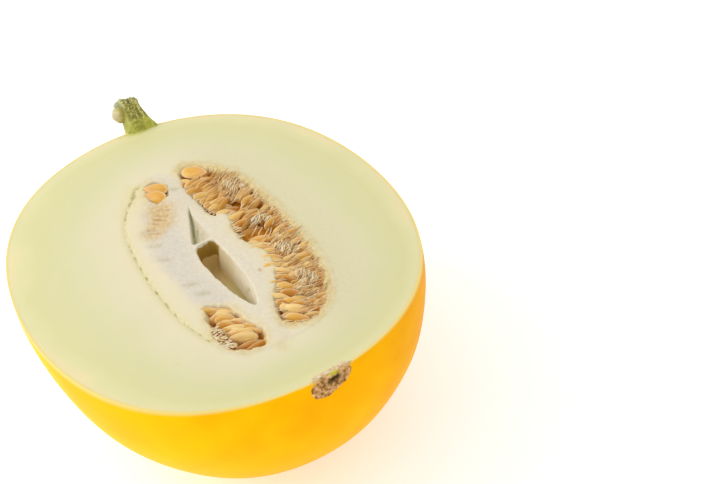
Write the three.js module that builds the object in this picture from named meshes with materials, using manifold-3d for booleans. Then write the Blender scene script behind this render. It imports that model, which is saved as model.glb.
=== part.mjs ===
// Half a honeydew melon, cut lengthwise and laid on its rind with the cut face up. It has the
// flesh with its rind, the seed pulp that fills the hollow, the seeds, the stem and the corky
// blossom scar. Millimetres, +Z up. The origin is the middle of the small flat spot that the
// rind rests on, and +X runs from the stem end to the blossom end. Everything is built around
// the middle of the cut face, with that face at Z = 0, and the whole is then lifted onto its spot.
import * as THREE from 'three';
import { mergeVertices } from 'three/addons/utils/BufferGeometryUtils.js';
import Module from 'manifold-3d';

const wasm = await Module();
wasm.setup();

// The whole melon that the half was cut from
const MELON_RADIUS = 80; // across the middle
const MELON_HALF_LENGTH = 104; // from the middle to each end
const BLOSSOM_FULLNESS = 0.02; // how much fuller the blossom end is than the stem end
const END_BLUNTNESS = 0.057; // how much blunter both ends are than an ellipse
const CUT_ABOVE_AXIS = 4; // the knife ran this far above the melon's own long axis
const REST_FLAT_DEPTH = 1.1; // how far the underside is flattened where it rests
const GAP = 0.3; // clearance between neighbouring pieces

// The hollow in the flesh: a fat lens, blunter than an ellipse, that the pulp fills
const HOLLOW_MIDDLE = new THREE.Vector3(6.5, 3.5, -CUT_ABOVE_AXIS);
const HOLLOW_HALF_SIZE = new THREE.Vector3(68, 33, 31);
const HOLLOW_BLUNTNESS = { stemEnd: 2.5, blossomEnd: 3 }; // 2 would be an ellipse

// The beds that the seeds lie in, sunk in the pulp: outlines in X and Y
const BED_DEPTH = 6.4;
const BED_ROUNDING = 1.6;
const LONG_BED = [
  [-61, 14], [-50, 27.5], [-34, 34.5], [-8, 37.5], [22, 37.5], [47, 35], [62, 27.5], [73, 16],
  [67, 4.6], [52, 6.4], [38, 12.8], [18, 13.8], [0, 13.4], [-14, 14.2], [-26, 10], [-44, 9.2], [-55, 9.4],
];
const SHORT_BED = [[37, -17], [44, -8], [56, -6], [66, -3.4], [75, -8], [68, -19], [58, -22], [48, -20]];
const STEM_END_POCKET = [[-59, 2], [-50, 4.5], [-42, 0], [-41, -6], [-48, -8], [-57, -5]];

// The clefts between the folds of pulp: each is a pointed lens, from one tip to the other
const DEEP_CLEFT = { from: [-2, 0.5], to: [49, 0], width: 10.4, depth: 21 };
const SHALLOW_CLEFT = { from: [-29, 5.2], to: [-4, -2], width: 3.6, depth: 7 };

// Seeds stand on edge in rows, like cards, with their blunt ends outwards. A row is a route of
// the seeds' middles from the stem end, and the lean of its first and last seed in degrees:
// 0 points a seed's blunt end to +Y, 90 to -X and 180 to -Y. The roll tips the cards of a row
// over, so that their broad sides look up and to the blossom end.
const SEED = { length: 10.4, width: 4.5, thickness: 1.7, taper: 0.24 };
const SEED_SINK = 2.4; // middle of a seed below the cut face
const SEED_ROWS = [
  {
    count: 23,
    lean: [28, -38],
    roll: -32,
    route: [[-45.4, 15.8], [-30, 16.8], [-8, 20.2], [16, 20], [38, 18], [66, 10.2]],
  },
  {
    count: 18,
    lean: [30, -29],
    roll: -16,
    route: [[-36, 26.2], [-20, 29], [6, 30.4], [34, 29.7], [62, 21.1]],
  },
  {
    count: 9,
    lean: [150, 160],
    roll: 30,
    route: [[42.5, -14], [56, -13.2], [69, -9.8]],
  },
];
// Seeds that lie over, with their broad side up: middle, lean and roll in degrees
const LYING_SINK = 1.7;
const LYING_SEEDS = [
  { at: [-53.6, 15.8], lean: -41, roll: -64 },
  { at: [-51.4, 0], lean: -41, roll: -62 },
  { at: [-47.6, -3.2], lean: -41, roll: -56 },
];

// How far one seed strays from the next: degrees for the turns, millimetres for the sink
const SEED_STRAY = { lean: 5, roll: 10, pitch: 6, sink: 0.4 };

// The stem: a short ridged stub on the rind, with the round scar of a side shoot
const STEM_FOOT = new THREE.Vector3(-102.5, 13, -2.4);
const STEM_DIRECTION = new THREE.Vector3(-0.74, -0.05, 0.67);
// Radius of the stub, and how far along the stem's direction from its foot
const STEM_PROFILE = [[9.3, -2], [8.2, 0], [7.1, 2], [6.3, 4], [5.7, 7], [5.2, 11], [5.2, 14], [5.6, 16], [4.8, 17.2]];
const STEM_END_DIP = 0.6; // the middle of the dry cut end has shrunk in
const STEM_RIDGES = 5;
const STEM_RIDGE_HEIGHT = 0.1; // as a share of the radius
const KNOB = { radius: 3.2, along: 12.2, aside: 5.9 };

// The blossom scar: a thin corky crust on the rind with a pit near its top
const SCAR_OUTLINE = [
  [-3.6, -3.2], [1, -1], [5, 0.8], [10, 0.8], [13.6, -1.2], [12.6, -5.2], [6, -8.4], [1, -10.6], [-3, -8.6],
];
const SCAR_CRUST = 1.3;
const SCAR_PIT = { middle: new THREE.Vector3(105.4, 5.4, -2.2), radius: 2.3 };

// Rings along and facets around each turned form, and points around each outline
const MELON_FACETS = [34, 56];
const HOLLOW_FACETS = [22, 36];
const CLEFT_FACETS = [12, 16];
const SEED_FACETS = [6, 8];
const STEM_FACETS = 20;
const KNOB_FACETS = [12, 8];
const PIT_FACETS = [10, 6];
const LONG_BED_POINTS = 40;
const SHORT_BED_POINTS = 22;
const POCKET_POINTS = 16;
const SCAR_POINTS = 18;

// Colour and roughness of each material
const COLOURS = {
  flesh: [0xe6e2b6, 0.45],
  pulp: [0xe4ded0, 0.4],
  seed: [0xdcab60, 0.35],
  stem: [0x96963a, 0.75],
  scar: [0xb08c60, 0.85],
};

const radians = THREE.MathUtils.degToRad;

// A closed three.js geometry as a solid for cutting and joining
function toSolid(geometry) {
  const bare = geometry.clone();
  bare.deleteAttribute('normal');
  bare.deleteAttribute('uv');
  const merged = mergeVertices(bare, 1e-4);
  const corners = merged.index.array;
  const kept = [];
  for (let i = 0; i < corners.length; i += 3) {
    const [a, b, c] = [corners[i], corners[i + 1], corners[i + 2]];
    if (a !== b && b !== c && c !== a) kept.push(a, b, c);
  }
  return new wasm.Manifold(new wasm.Mesh({
    numProp: 3,
    vertProperties: new Float32Array(merged.attributes.position.array),
    triVerts: new Uint32Array(kept),
  }));
}

function toGeometry(solid) {
  const mesh = solid.getMesh();
  const geometry = new THREE.BufferGeometry();
  geometry.setAttribute('position', new THREE.BufferAttribute(mesh.vertProperties, 3));
  geometry.setIndex(new THREE.BufferAttribute(mesh.triVerts, 1));
  geometry.computeVertexNormals();
  return geometry;
}

function piece(name, geometry, [colour, roughness]) {
  const material = new THREE.MeshStandardMaterial({ color: colour, roughness, metalness: 0 });
  const mesh = new THREE.Mesh(geometry, material);
  mesh.name = name;
  return mesh;
}

// A solid of revolution about X from radiusAt(turn) and alongAt(turn), turn from PI to 0
function turned([rings, segments], radiusAt, alongAt) {
  const profile = [];
  for (let i = 0; i <= rings; i += 1) {
    const turn = Math.PI * (1 - i / rings);
    const onAxis = i === 0 || i === rings;
    profile.push(new THREE.Vector2(onAxis ? 0 : radiusAt(turn), alongAt(turn)));
  }
  const geometry = new THREE.LatheGeometry(profile, segments);
  geometry.rotateZ(-Math.PI / 2);
  return geometry;
}

// The outer form of the whole melon, grown by a little where something has to fit over it
function melonForm(grow = 0) {
  const widest = 1 - END_BLUNTNESS;
  const fullness = (turn) => 1 + BLOSSOM_FULLNESS * Math.cos(turn) + END_BLUNTNESS * Math.cos(2 * turn);
  const radius = (turn) => (MELON_RADIUS + grow) * Math.sin(turn) * (fullness(turn) / widest);
  const along = (turn) => (MELON_HALF_LENGTH + grow) * Math.cos(turn);
  return toSolid(turned(MELON_FACETS, radius, along).translate(0, 0, -CUT_ABOVE_AXIS));
}

// The hollow's form, shrunk by a little for the pulp that fills it
function hollowForm(shrink = 0) {
  const { stemEnd, blossomEnd } = HOLLOW_BLUNTNESS;
  const power = (turn) => 2 / (Math.cos(turn) > 0 ? blossomEnd : stemEnd);
  const radius = (turn) => Math.sin(turn) ** power(turn);
  const along = (turn) => Math.sign(Math.cos(turn)) * Math.abs(Math.cos(turn)) ** power(turn);
  const geometry = turned(HOLLOW_FACETS, radius, along);
  const half = HOLLOW_HALF_SIZE.clone().subScalar(shrink);
  geometry.scale(half.x, half.y, half.z);
  return toSolid(geometry.translate(HOLLOW_MIDDLE.x, HOLLOW_MIDDLE.y, HOLLOW_MIDDLE.z));
}

// A block of air from one height to another, wide enough to cut right across the melon
function slab(low, high) {
  const block = new THREE.BoxGeometry(3 * MELON_HALF_LENGTH, 3 * MELON_RADIUS, high - low);
  return toSolid(block.translate(0, 0, (low + high) / 2));
}

function smoothOutline(points, steps) {
  const corners = points.map(([x, y]) => new THREE.Vector3(x, y, 0));
  const curve = new THREE.CatmullRomCurve3(corners, true, 'centripetal');
  const around = curve.getSpacedPoints(steps).slice(0, steps);
  return new THREE.Shape(around.map(({ x, y }) => new THREE.Vector2(x, y)));
}

// A bed with a rounded floor, sunk from the cut face into the pulp
function bed(points, steps) {
  const geometry = new THREE.ExtrudeGeometry(smoothOutline(points, steps), {
    depth: BED_DEPTH,
    steps: 1,
    bevelEnabled: true,
    bevelSegments: 2,
    bevelThickness: BED_ROUNDING,
    bevelSize: BED_ROUNDING,
    bevelOffset: -BED_ROUNDING,
  });
  return toSolid(geometry.translate(0, 0, BED_ROUNDING - BED_DEPTH));
}

// A cleft between folds of the pulp, pointed at both ends and deepest in its middle
function cleft({ from, to, width, depth }) {
  const run = new THREE.Vector2(to[0] - from[0], to[1] - from[1]);
  const lens = turned(CLEFT_FACETS, (turn) => Math.sin(turn) ** 2, (turn) => Math.cos(turn));
  lens.scale(run.length() / 2, width / 2, depth);
  lens.rotateZ(run.angle());
  return toSolid(lens.translate((from[0] + to[0]) / 2, (from[1] + to[1]) / 2, 0));
}

// The flesh and its rind, grown as one: the melon's form, cut, flattened and hollowed
function melonHalf() {
  const lowest = -CUT_ABOVE_AXIS - MELON_RADIUS;
  const solid = melonForm()
    .subtract(slab(0, 2 * MELON_RADIUS))
    .subtract(slab(2 * lowest, lowest + REST_FLAT_DEPTH))
    .subtract(hollowForm());
  return piece('melon_half', toGeometry(solid), COLOURS.flesh);
}

function seedPulp() {
  const solid = hollowForm(GAP)
    .subtract(slab(0, 2 * MELON_RADIUS))
    .subtract(bed(LONG_BED, LONG_BED_POINTS))
    .subtract(bed(SHORT_BED, SHORT_BED_POINTS))
    .subtract(bed(STEM_END_POCKET, POCKET_POINTS))
    .subtract(cleft(SHALLOW_CLEFT))
    .subtract(cleft(DEEP_CLEFT));
  return piece('seed_pulp', toGeometry(solid), COLOURS.pulp);
}

// One seed: a flat teardrop with its long side on Y, on edge, blunt end to +Y
function seedGeometry() {
  const radius = (turn) => Math.sin(turn) ** 1.1 * (1 + SEED.taper * Math.cos(turn));
  const geometry = turned(SEED_FACETS, radius, (turn) => Math.cos(turn));
  geometry.rotateZ(Math.PI / 2);
  geometry.scale(SEED.thickness / 2, SEED.length / 2, SEED.width / 2);
  return geometry;
}

// A small uneven number between -1 and 1 that is always the same for the same seed
function uneven(index, kind) {
  return Math.sin(index * 12.9898 + kind * 4.1414);
}

function seeds() {
  const geometry = seedGeometry();
  const all = [];
  const add = (x, y, sink, lean, roll, pitch) => {
    const number = String(all.length + 1).padStart(2, '0');
    const seed = piece(`seed_${number}`, geometry, COLOURS.seed);
    seed.position.set(x, y, -sink);
    seed.rotation.set(radians(pitch), radians(roll), radians(lean), 'ZXY');
    all.push(seed);
  };
  for (const { count, lean, roll, route } of SEED_ROWS) {
    const curve = new THREE.SplineCurve(route.map(([x, y]) => new THREE.Vector2(x, y)));
    for (let i = 0; i < count; i += 1) {
      const share = i / (count - 1);
      const place = curve.getPointAt(share);
      const turn = THREE.MathUtils.lerp(lean[0], lean[1], share) + SEED_STRAY.lean * uneven(i, 1);
      const sink = SEED_SINK + SEED_STRAY.sink * uneven(i, 2);
      const tip = roll + SEED_STRAY.roll * uneven(i, 3);
      add(place.x, place.y, sink, turn, tip, SEED_STRAY.pitch * uneven(i, 4));
    }
  }
  for (const { at, lean, roll } of LYING_SEEDS) add(at[0], at[1], LYING_SINK, lean, roll, 0);
  return all;
}

// The stem's ridged stub and its knob, with a foot that follows the rind
function stem() {
  const profile = STEM_PROFILE.map(([radius, along]) => new THREE.Vector2(radius, along));
  profile.unshift(new THREE.Vector2(0, STEM_PROFILE[0][1]));
  profile.push(new THREE.Vector2(0, STEM_PROFILE.at(-1)[1] - STEM_END_DIP));
  const stub = new THREE.LatheGeometry(profile, STEM_FACETS);
  const corners = stub.attributes.position;
  for (let i = 0; i < corners.count; i += 1) {
    const around = Math.atan2(corners.getX(i), corners.getZ(i));
    const ridge = 1 + STEM_RIDGE_HEIGHT * Math.cos(STEM_RIDGES * around);
    corners.setXYZ(i, corners.getX(i) * ridge, corners.getY(i), corners.getZ(i) * ridge);
  }
  const upright = new THREE.Vector3(0, 1, 0);
  const turn = new THREE.Quaternion().setFromUnitVectors(upright, STEM_DIRECTION.clone().normalize());
  stub.applyQuaternion(turn);
  stub.translate(STEM_FOOT.x, STEM_FOOT.y, STEM_FOOT.z);
  const knobMiddle = STEM_DIRECTION.clone().normalize().multiplyScalar(KNOB.along).add(STEM_FOOT);
  const knob = new THREE.SphereGeometry(KNOB.radius, ...KNOB_FACETS);
  knob.translate(knobMiddle.x, knobMiddle.y - KNOB.aside, knobMiddle.z);
  const solid = toSolid(stub).add(toSolid(knob)).subtract(melonForm(GAP));
  return piece('stem', toGeometry(solid), COLOURS.stem);
}

// The crust keeps to the rind's form, so it is a thin shell of that form inside its own outline
function blossomScar() {
  const outline = smoothOutline(SCAR_OUTLINE, SCAR_POINTS);
  const plug = new THREE.ExtrudeGeometry(outline, { depth: MELON_RADIUS, steps: 1, bevelEnabled: false });
  plug.rotateX(Math.PI / 2);
  plug.rotateZ(Math.PI / 2);
  plug.translate(MELON_HALF_LENGTH - MELON_RADIUS / 2, 0, 0);
  const pit = new THREE.SphereGeometry(SCAR_PIT.radius, ...PIT_FACETS);
  pit.translate(SCAR_PIT.middle.x, SCAR_PIT.middle.y, SCAR_PIT.middle.z);
  const solid = toSolid(plug)
    .intersect(melonForm(GAP + SCAR_CRUST))
    .subtract(melonForm(GAP))
    .subtract(slab(0, 2 * MELON_RADIUS))
    .subtract(toSolid(pit));
  return piece('blossom_scar', toGeometry(solid), COLOURS.scar);
}

const melon = new THREE.Group();
melon.position.z = MELON_RADIUS + CUT_ABOVE_AXIS - REST_FLAT_DEPTH;
melon.add(melonHalf(), seedPulp(), stem(), blossomScar(), ...seeds());

export default melon;
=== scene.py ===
# %% [markdown]
# # Half a honeydew melon
#
# A ripe melon was cut lengthwise, and one half lies on its rind with the cut face up. It has a waxy yellow
# rind, cream-green flesh, a hollow full of white pulp with its seeds, a dry stub of stem at one end and
# the corky scar of the blossom at the other. The CAD model gives every size and place. This script gives
# each piece its fine surface and its finish.

# %% Load the CAD model as the frame
import math
import random
from contextlib import contextmanager
from functools import partial

import bpy
import numpy as np
from mathutils import Matrix, Vector, noise


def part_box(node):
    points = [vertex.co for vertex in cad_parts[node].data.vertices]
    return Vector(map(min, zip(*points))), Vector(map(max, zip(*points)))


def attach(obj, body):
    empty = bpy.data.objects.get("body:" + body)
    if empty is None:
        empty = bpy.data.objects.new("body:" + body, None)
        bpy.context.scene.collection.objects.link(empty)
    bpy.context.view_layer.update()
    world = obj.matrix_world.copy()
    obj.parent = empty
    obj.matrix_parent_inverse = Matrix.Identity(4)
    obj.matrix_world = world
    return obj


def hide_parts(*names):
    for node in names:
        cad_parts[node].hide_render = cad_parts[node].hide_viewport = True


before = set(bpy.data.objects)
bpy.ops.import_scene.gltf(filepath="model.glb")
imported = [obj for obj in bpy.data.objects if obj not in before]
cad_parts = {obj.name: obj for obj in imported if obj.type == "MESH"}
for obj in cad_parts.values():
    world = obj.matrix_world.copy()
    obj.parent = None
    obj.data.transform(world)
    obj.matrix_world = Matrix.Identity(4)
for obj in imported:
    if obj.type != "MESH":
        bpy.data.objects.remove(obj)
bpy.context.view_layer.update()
print("CAD nodes:", len(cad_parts))

# %% [markdown]
# ## Measures
#
# Fruit is easiest to think of in millimetres, so the sculpting below works in millimetres with the middle
# of the cut face as its zero point: X runs to the blossom end and Z goes up from the face. The overall sizes
# come from the frame. The shares that give the melon its blunt ends are those of the CAD model.

# %% Sizes in millimetres, from the frame
MM = 0.001
_, half_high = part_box("melon_half")
FACE = Vector((0, 0, half_high.z))
HALF_LENGTH = half_high.x / MM
RADIUS = half_high.y / MM
CUT_ABOVE_AXIS = 4.0
BLOSSOM_FULLNESS = 0.02
END_BLUNTNESS = 0.057
RIND = 0.9
HOLLOW_MIDDLE = np.array([6.5, 3.5, -CUT_ABOVE_AXIS])
HOLLOW_HALF = np.array([68.0, 33.0, 31.0])
print(f"melon {2 * HALF_LENGTH:.0f} mm long, {2 * RADIUS:.0f} mm across, face {FACE.z / MM:.1f} mm up")

# %% [markdown]
# ## Camera, floor and light
#
# The camera stands a forearm's length off at the blossom end and looks down on the cut face, a little turned
# about its own line of sight. The melon lies on a table of frosted white acrylic that is lit from below, under
# an even sky of soft light. One large soft lamp stands on the left, so shadows stay faint and the wet pulp
# gets small highlights.

# %% The camera
CAMERA_AROUND, CAMERA_DOWN, CAMERA_ROLL = 68.75, 36.71, -12.23  # degrees
CAMERA_OFFSET = (0.0651, 0.00097, 0.64)  # to its right, up and back from the middle of the face, in metres
FOCAL_LENGTH, SENSOR_WIDTH = 77.36, 36


def add_camera():
    bpy.ops.object.camera_add()
    camera = bpy.context.object
    turn = (
        Matrix.Rotation(math.radians(CAMERA_AROUND), 4, "Z")
        @ Matrix.Rotation(math.radians(90 - CAMERA_DOWN), 4, "X")
        @ Matrix.Rotation(math.radians(CAMERA_ROLL), 4, "Z")
    )
    camera.matrix_world = Matrix.Translation(FACE) @ turn @ Matrix.Translation(CAMERA_OFFSET)
    camera.data.lens = FOCAL_LENGTH
    camera.data.sensor_width = SENSOR_WIDTH
    camera.data.clip_start = 0.01
    bpy.context.scene.camera = camera
    return camera


camera = add_camera()
print("camera at", [round(c, 3) for c in camera.matrix_world.translation])


# %% [markdown]
# ## A few hand tools
#
# Operators act on whatever is selected, and loading the frame leaves the CAD nodes selected. So there is a
# helper that selects one object alone. Two more read a mesh's points as a numpy array in millimetres and put
# them back, which is how the organic forms are sculpted: a primitive is added, and its points are pushed.

# %% Selecting, reading and pushing points
def select_only(piece):
    bpy.ops.object.select_all(action="DESELECT")
    piece.select_set(True)
    bpy.context.view_layer.objects.active = piece


def raw_points(piece):
    """A mesh's points as they are stored, in metres."""
    flat = np.empty(len(piece.data.vertices) * 3)
    piece.data.vertices.foreach_get("co", flat)
    return flat.reshape(-1, 3)


def points_of(piece):
    return (raw_points(piece) - np.array(FACE)) / MM


def push_points(piece, points):
    piece.data.vertices.foreach_set("co", (points * MM + np.array(FACE)).ravel())
    piece.data.update()


def add_modifier(piece, kind, **settings):
    select_only(piece)
    bpy.ops.object.modifier_add(type=kind)
    modifier = piece.modifiers[-1]
    for name, value in settings.items():
        setattr(modifier, name, value)
    bpy.ops.object.modifier_apply(modifier=modifier.name)


@contextmanager
def editing(piece):
    """Edit mode on one piece, with all of its mesh selected."""
    select_only(piece)
    bpy.ops.object.mode_set(mode="EDIT")
    bpy.ops.mesh.select_all(action="SELECT")
    yield
    bpy.ops.object.mode_set(mode="OBJECT")


def face_outwards(piece):
    with editing(piece):
        bpy.ops.mesh.normals_make_consistent(inside=False)


def smooth_step(low, high, value):
    """0 at the low value and 1 at the high one, soft at both ends; low may be the larger."""
    share = np.clip((value - low) / (high - low), 0, 1)
    return share * share * (3 - 2 * share)


def hump(value, width=1.0):
    """1 where the value is 0, falling softly to nothing over about twice the width."""
    return np.exp(-((value / width) ** 2))


def fade_ends(along, share):
    """1 along a line, and softly 0 towards both its ends."""
    return smooth_step(0, share, along) * smooth_step(1, 1 - share, along)


def rough(points, size, seed=0):
    """Soft noise between about -1 and 1 at each point; size is the width of its lumps in millimetres."""
    offset = Vector((17.3 * seed, -9.1 * seed, 5.7 * seed))
    return np.array([noise.noise(Vector(p) / size + offset) for p in points])


def store(piece, name, values):
    """Keeps one number per point for the material to read."""
    attribute = piece.data.attributes.new(name, "FLOAT", "POINT")
    attribute.data.foreach_set("value", np.asarray(values, dtype=float))


# %% [markdown]
# ## Finishes
#
# Every finish is a Principled shader fed by a few nodes. One function adds a node with its settings, its
# values and its links. Colours are written as they look on screen, in hex, and one function turns
# them to the linear values that the shader works in.

# %% Colours and nodes
# settings that many nodes share: a mix of two colours, a soft step from 0 to 1, and two sums. Inputs that
# share one name are called by number: 0, 6 and 7 of a colour mix are its share and its two colours
BLEND = {"data_type": "RGBA", "out": 2}
SOFT = {"interpolation_type": "SMOOTHSTEP"}
TIMES, TIMES_AND_ADD = {"operation": "MULTIPLY"}, {"operation": "MULTIPLY_ADD"}


def linear(hex_colour):
    channels = [int(hex_colour[i:i + 2], 16) / 255 for i in (1, 3, 5)]
    return (*[c / 12.92 if c <= 0.04045 else ((c + 0.055) / 1.055) ** 2.4 for c in channels], 1.0)


def fill(material, node, inputs):
    """Gives a node's sockets their values: a number, a hex colour, or another node's output to link."""
    for socket, value in inputs.items():
        if isinstance(value, bpy.types.NodeSocket):
            material.node_tree.links.new(value, node.inputs[socket])
        else:
            node.inputs[socket].default_value = linear(value) if isinstance(value, str) else value


def add_node(material, kind, inputs=None, stops=(), out=0, **settings):
    """Adds a node with its settings, inputs and colour stops, and returns one of its outputs."""
    made = material.node_tree.nodes.new("ShaderNode" + kind)
    for name, value in settings.items():
        setattr(made, name, value)
    fill(material, made, inputs or {})
    for number, (place, colour) in enumerate(stops):
        elements = made.color_ramp.elements
        stop = elements[number] if number < 2 else elements.new(place)
        stop.position = place
        stop.color = linear(colour)
    return made.outputs[out]


def new_finish(name):
    """A material, what adds a node to it, and the object's own coordinates."""
    material = bpy.data.materials.new(name)
    material.use_nodes = True
    add = partial(add_node, material)
    return material, add, add("TexCoord", out="Object")


def shade(material, inputs):
    """Fills the sockets of the Principled shader, which completes the finish."""
    fill(material, material.node_tree.nodes["Principled BSDF"], inputs)
    return material


# %% Floor and lights
FLOOR_SIZE = 20
LAMP_PLACE, LAMP_WIDTH, LAMP_WATTS, LAMP_COLOUR = (-0.3, -0.55, 0.65), 0.7, 3.6, (1.0, 0.985, 0.96)
SKY_STRENGTH = 0.86


def lit_white_table():
    """Frosted white acrylic with a lamp below it, which takes most of the shadows away."""
    material, add, place = new_finish("lit_white_acrylic_table")
    frost = add("TexNoise", {"Vector": place, "Scale": 400, "Detail": 3})
    return shade(material, {
        "Base Color": "#F2F2F2", "Roughness": 0.9, "Emission Color": "#FFFFFF", "Emission Strength": 0.34,
        "Normal": add("Bump", {"Strength": 0.02, "Distance": 0.0002, "Height": frost}),
    })


def set_the_stage():
    bpy.ops.object.select_all(action="DESELECT")
    bpy.ops.mesh.primitive_plane_add(size=FLOOR_SIZE, location=(0, 0, 0))
    floor = bpy.context.object
    floor.name = "floor"
    floor.data.materials.append(lit_white_table())
    bpy.ops.object.light_add(type="AREA", location=LAMP_PLACE)
    lamp = bpy.context.object
    lamp.data.shape = "DISK"
    lamp.data.size = LAMP_WIDTH
    lamp.data.energy = LAMP_WATTS
    lamp.data.color = LAMP_COLOUR
    aim = FACE - lamp.location
    lamp.rotation_euler = aim.to_track_quat("-Z", "Y").to_euler()
    world = bpy.context.scene.world or bpy.data.worlds.new("soft_white_sky")
    bpy.context.scene.world = world
    world.use_nodes = True
    sky = world.node_tree.nodes["Background"]
    sky.inputs["Color"].default_value = (1, 1, 1, 1)
    sky.inputs["Strength"].default_value = SKY_STRENGTH
    bpy.context.scene.view_settings.view_transform = "Standard"


set_the_stage()

# %% [markdown]
# The rind of a ripe melon is a skin of cutin and wax over a dense yellow layer. It is smooth to
# the hand, with a soft shine, faint lengthwise streaks and fine pores. Wax has an IOR of about 1.45.

# %% Waxy yellow rind
def waxy_rind():
    material, add, place = new_finish("waxy_yellow_rind")
    stretched = add("Mapping", {"Vector": place, "Scale": (9, 60, 60)})
    streaks = add("TexNoise", {"Vector": stretched, "Scale": 1, "Detail": 4})
    patches = add("TexNoise", {"Vector": place, "Scale": 22, "Detail": 3})
    mixed = add("Mix", {0: 0.5, 2: streaks, 3: patches})
    # painted light and shade: the rind is painted lighter and yellower on the -Y side, where the lamp stands,
    # and deeper orange on the +Y side
    y = add("SeparateXYZ", {0: place}, out=1)
    faint = add("Math", {0: mixed, 1: 0.65, 2: 0.175}, **TIMES_AND_ADD)
    painted_side_light = add("Math", {0: y, 1: -2.1, 2: faint}, **TIMES_AND_ADD)
    colour = add("ValToRGB", {0: painted_side_light}, stops=[(0.25, "#EC9A00"), (0.8, "#FECE06"), (0.5, "#FAB500")])
    cork = add("TexNoise", {"Vector": place, "Scale": 600, "Detail": 4})
    cork = add("ValToRGB", {0: cork}, stops=[(0.35, "#8A6434"), (0.65, "#DAB88C")])
    for attribute, over in (("cut", "#E7D384"), ("corky", cork), ("moss", "#CFC848")):
        share = add("Attribute", attribute_name=attribute, out="Fac")
        colour = add("Mix", {0: share, 6: colour, 7: over}, **BLEND)
    pores = add("TexNoise", {"Vector": place, "Scale": 700, "Detail": 2})
    return shade(material, {
        "Base Color": colour, "Roughness": 0.4, "IOR": 1.45, "Specular IOR Level": 0.02,
        "Normal": add("Bump", {"Strength": 0.12, "Distance": 0.0003, "Height": pores}),
    })


RIND_FINISH = waxy_rind()

# %% [markdown]
# Ripe flesh and pulp are wet, translucent cell tissue: light goes a few millimetres in and comes out
# softened. The flesh is creamy by the hollow, greener halfway out, and pale again under the rind; on the +Y
# side by the hollow it is painted darker, as painted shade. The pulp is white where it is spongy, golden around
# the seeds and olive deep in its clefts, which is partly its own tint and partly painted shade. Both finishes
# read numbers that are kept in the mesh, so flesh and pulp meet in one colour.

# %% Moist flesh and spongy pulp
# where a patchy layer starts and where it is whole, on the sum of its attribute and 0.9 of the patches
PATCHY = {"golden": (0.6, 1.6), "crevice": (0.96, 1.16), "stalk": (0.55, 1.35), "corky": (0.6, 1.2)}
GOLDEN = ("golden", "#CBB276", "#DAC78E")
SEAM = [("seam", "#D6C98C", "#DED2A0"), ("crevice", "#A49A58", "#C4BA84")]


def moist_tissue(name, layers):
    """layers: an attribute of the mesh, and the two colours its fine clouds run between."""
    material, add, place = new_finish(name)
    clouds = add("TexNoise", {"Vector": place, "Scale": 30, "Detail": 4})
    drift = add("Math", {0: clouds, 1: 0.5}, operation="SUBTRACT")
    outwards = add("Attribute", attribute_name="outwards", out="Fac")
    moved = add("Math", {0: drift, 1: 0.4, 2: outwards}, **TIMES_AND_ADD)
    colour = add("ValToRGB", {0: moved}, stops=[
        (0.0, "#DFD5B4"), (1.0, "#E4D6A4"), (0.25, "#DAD3AE"), (0.55, "#D4D0A0"), (0.8, "#D5D09A"),
        (0.93, "#DBD5A2"),
    ])
    fine = add("TexNoise", {"Vector": place, "Scale": 650, "Detail": 4})
    patches = add("TexNoise", {"Vector": place, "Scale": 220, "Detail": 4})
    for attribute, dark, pale in layers:
        share = add("Attribute", attribute_name=attribute, out="Fac")
        if attribute in PATCHY:
            start, whole = PATCHY[attribute]
            uneven = add("Math", {0: patches, 1: 0.9, 2: share}, **TIMES_AND_ADD)
            share = add("MapRange", {0: uneven, 1: start, 2: whole}, **SOFT)
        cloud = add("ValToRGB", {0: fine}, stops=[(0.35, dark), (0.65, pale)])
        colour = add("Mix", {0: share, 6: colour, 7: cloud}, **BLEND)
    shade(material, {
        "Base Color": colour, "Roughness": 0.4, "IOR": 1.36,
        "Normal": add("Bump", {"Strength": 0.02, "Distance": 0.0002, "Height": fine}),
        "Subsurface Weight": 0.25, "Subsurface Radius": (1, 0.8, 0.4), "Subsurface Scale": 0.003,
    })
    return material, add, place, colour


# its first layer is painted shade on the +Y side of the face
FLESH_FINISH = moist_tissue("moist_melon_flesh", [
    ("painted_shade_plus_y", "#D1CAA2", "#D5CEA6"), GOLDEN, *SEAM, ("stalk", "#B9BC50", "#C9CA6C"),
    ("corky", "#C9A678", "#E4CFAC"),
])[0]


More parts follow.
